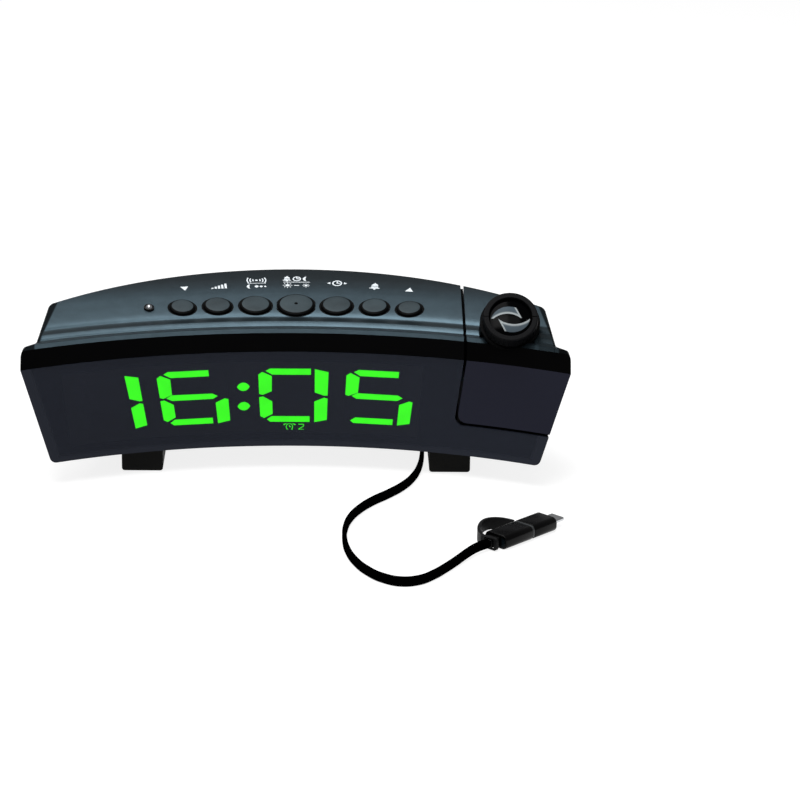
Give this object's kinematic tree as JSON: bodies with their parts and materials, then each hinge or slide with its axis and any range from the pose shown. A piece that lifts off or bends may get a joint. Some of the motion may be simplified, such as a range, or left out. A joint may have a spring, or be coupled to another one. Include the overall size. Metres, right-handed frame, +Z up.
{
  "type": "projection alarm clock",
  "caption": "Concave leaning digital alarm clock with round deck keys, a flip-up time projector in its right end, two feet and a plugged-in flat charging lead.",
  "frame": {"origin": "on the table, under the middle of the clock's overall width and depth, the free lead not counted", "axes": "+X to the right along the display, +Y to the back, +Z up; the display looks towards -Y"},
  "size_m": [0.219, 0.263, 0.0716],
  "materials": {
    "slate_cover": "fine spark-eroded texture, satin",
    "black_housing": "satin black moulding",
    "gloss_black": "polished black",
    "smoked_window": "smoked acrylic, polished",
    "smoked_panel": "smoked acrylic over a black mask, polished",
    "lit_green": "lit diffuser",
    "unlit_grey": "unlit diffuser",
    "mask_black": "matte black moulding",
    "key_grey": "fine texture, satin",
    "circuit_board": "green solder mask",
    "components": "moulded packages",
    "tinned_steel": "tinned",
    "zinc_screw": "zinc plated",
    "dark_plastic": "black nylon",
    "speaker_steel": "black stamped steel",
    "speaker_paper": "pressed paper cone",
    "ferrite": "sintered ferrite",
    "cell_case": "plain metal jacket",
    "foot_rubber": "matte black rubber",
    "hub_acetal": "natural acetal",
    "clear_lens": "coated optical acrylic",
    "clear_dome": "clear acrylic",
    "liquid_crystal": "laminated glass",
    "lead_black": "black PVC",
    "connector_black": "polished black",
    "strap_grey": "dark grey elastomer",
    "seam_grey": "dark grey",
    "nickel": "nickel plated"
  },
  "bodies": {
    "clock_body": {"rear_housing": "black_housing", "top_cover": "slate_cover", "front_frame": "gloss_black", "display_window": "smoked_window", "light_box": "mask_black", "lit_segments": "lit_green", "unlit_segments": "unlit_grey", "colon_dots": "lit_green", "alarm_marks": "lit_green", "display_board": "circuit_board", "key_board": "circuit_board", "key_switches": "tinned_steel", "light_sensor": "clear_dome", "main_board": "circuit_board", "board_components": "components", "usb_socket": "tinned_steel", "dc_jack": "components", "aerial_gland": "dark_plastic", "speaker_basket": "speaker_steel", "speaker_cone": "speaker_paper", "speaker_magnet": "ferrite", "battery_cells": "cell_case", "battery_contacts": "tinned_steel", "foot_left": "foot_rubber", "foot_right": "foot_rubber", "foot_pads": "foot_rubber", "case_screws": "zinc_screw", "board_screws": "zinc_screw", "friction_washer": "zinc_screw", "usb_plug": "lead_black", "charging_lead": "lead_black", "connector_shell": "connector_black", "adapter_ring": "seam_grey", "adapter_shell": "connector_black", "connector_tip": "nickel", "tether_strap": "strap_grey"},
    "button_down": {"button_down": "key_grey"},
    "button_volume": {"button_volume": "key_grey"},
    "button_radio": {"button_radio": "key_grey"},
    "button_snooze": {"button_snooze": "key_grey"},
    "button_set": {"button_set": "key_grey"},
    "button_alarm": {"button_alarm": "key_grey"},
    "button_up": {"button_up": "key_grey"},
    "projector": {"projector_case": "black_housing", "projector_cover": "slate_cover", "projector_lip": "slate_cover", "projector_band": "gloss_black", "projector_panel": "smoked_panel", "swivel_hub": "hub_acetal", "hub_clip": "zinc_screw", "lens_barrel": "mask_black", "condenser_lens": "clear_lens", "time_slide": "liquid_crystal", "lamp_board": "circuit_board"},
    "focus_ring": {"focus_ring": "dark_plastic"},
    "focus_cell": {"lens_carrier": "dark_plastic", "projection_lens": "clear_lens"},
    "battery_door": {"battery_door": "black_housing"}
  },
  "joints": [
    {"name": "button_down_press", "type": "slide", "parent": "clock_body", "child": "button_down", "axis": [-0.0548, 0.2872, -0.9563], "range_m": [0, 0.0008], "stiffness_N_per_m": 800, "springref_m": -0.0006},
    {"name": "button_volume_press", "type": "slide", "parent": "clock_body", "child": "button_volume", "axis": [-0.0382, 0.2899, -0.9563], "range_m": [0, 0.0008], "stiffness_N_per_m": 800, "springref_m": -0.0006},
    {"name": "button_radio_press", "type": "slide", "parent": "clock_body", "child": "button_radio", "axis": [-0.0201, 0.2917, -0.9563], "range_m": [0, 0.0008], "stiffness_N_per_m": 800, "springref_m": -0.0006},
    {"name": "button_snooze_press", "type": "slide", "parent": "clock_body", "child": "button_snooze", "axis": [-0.0008, 0.2924, -0.9563], "range_m": [0, 0.0008], "stiffness_N_per_m": 800, "springref_m": -0.0006},
    {"name": "button_set_press", "type": "slide", "parent": "clock_body", "child": "button_set", "axis": [0.0186, 0.2918, -0.9563], "range_m": [0, 0.0008], "stiffness_N_per_m": 800, "springref_m": -0.0006},
    {"name": "button_alarm_press", "type": "slide", "parent": "clock_body", "child": "button_alarm", "axis": [0.0366, 0.2901, -0.9563], "range_m": [0, 0.0008], "stiffness_N_per_m": 800, "springref_m": -0.0006},
    {"name": "button_up_press", "type": "slide", "parent": "clock_body", "child": "button_up", "axis": [0.0533, 0.2875, -0.9563], "range_m": [0, 0.0008], "stiffness_N_per_m": 800, "springref_m": -0.0006},
    {"name": "projector_flip", "type": "hinge", "parent": "clock_body", "child": "projector", "pos_m": [0.0687, 0.01386, 0.036], "axis": [-1, 0, 0], "range_deg": [0, 90]},
    {"name": "focus_turn", "type": "hinge", "parent": "projector", "child": "focus_ring", "pos_m": [0.086, -0.01604, 0.064], "axis": [0, -0.7071, 0.7071], "range_deg": [0, 90]},
    {"name": "focus_slide", "type": "slide", "parent": "projector", "child": "focus_cell", "axis": [0, 0.7071, -0.7071], "range_m": [0, 0.0012]},
    {"name": "battery_door_swing", "type": "hinge", "parent": "clock_body", "child": "battery_door", "pos_m": [0.021, 0.00146, 0.0111], "axis": [-1, 0, 0], "range_deg": [0, 18]}
  ],
  "couplings": [
    {"joint": "focus_turn", "follows": "focus_slide", "rad_per_m": 1309}
  ]
}
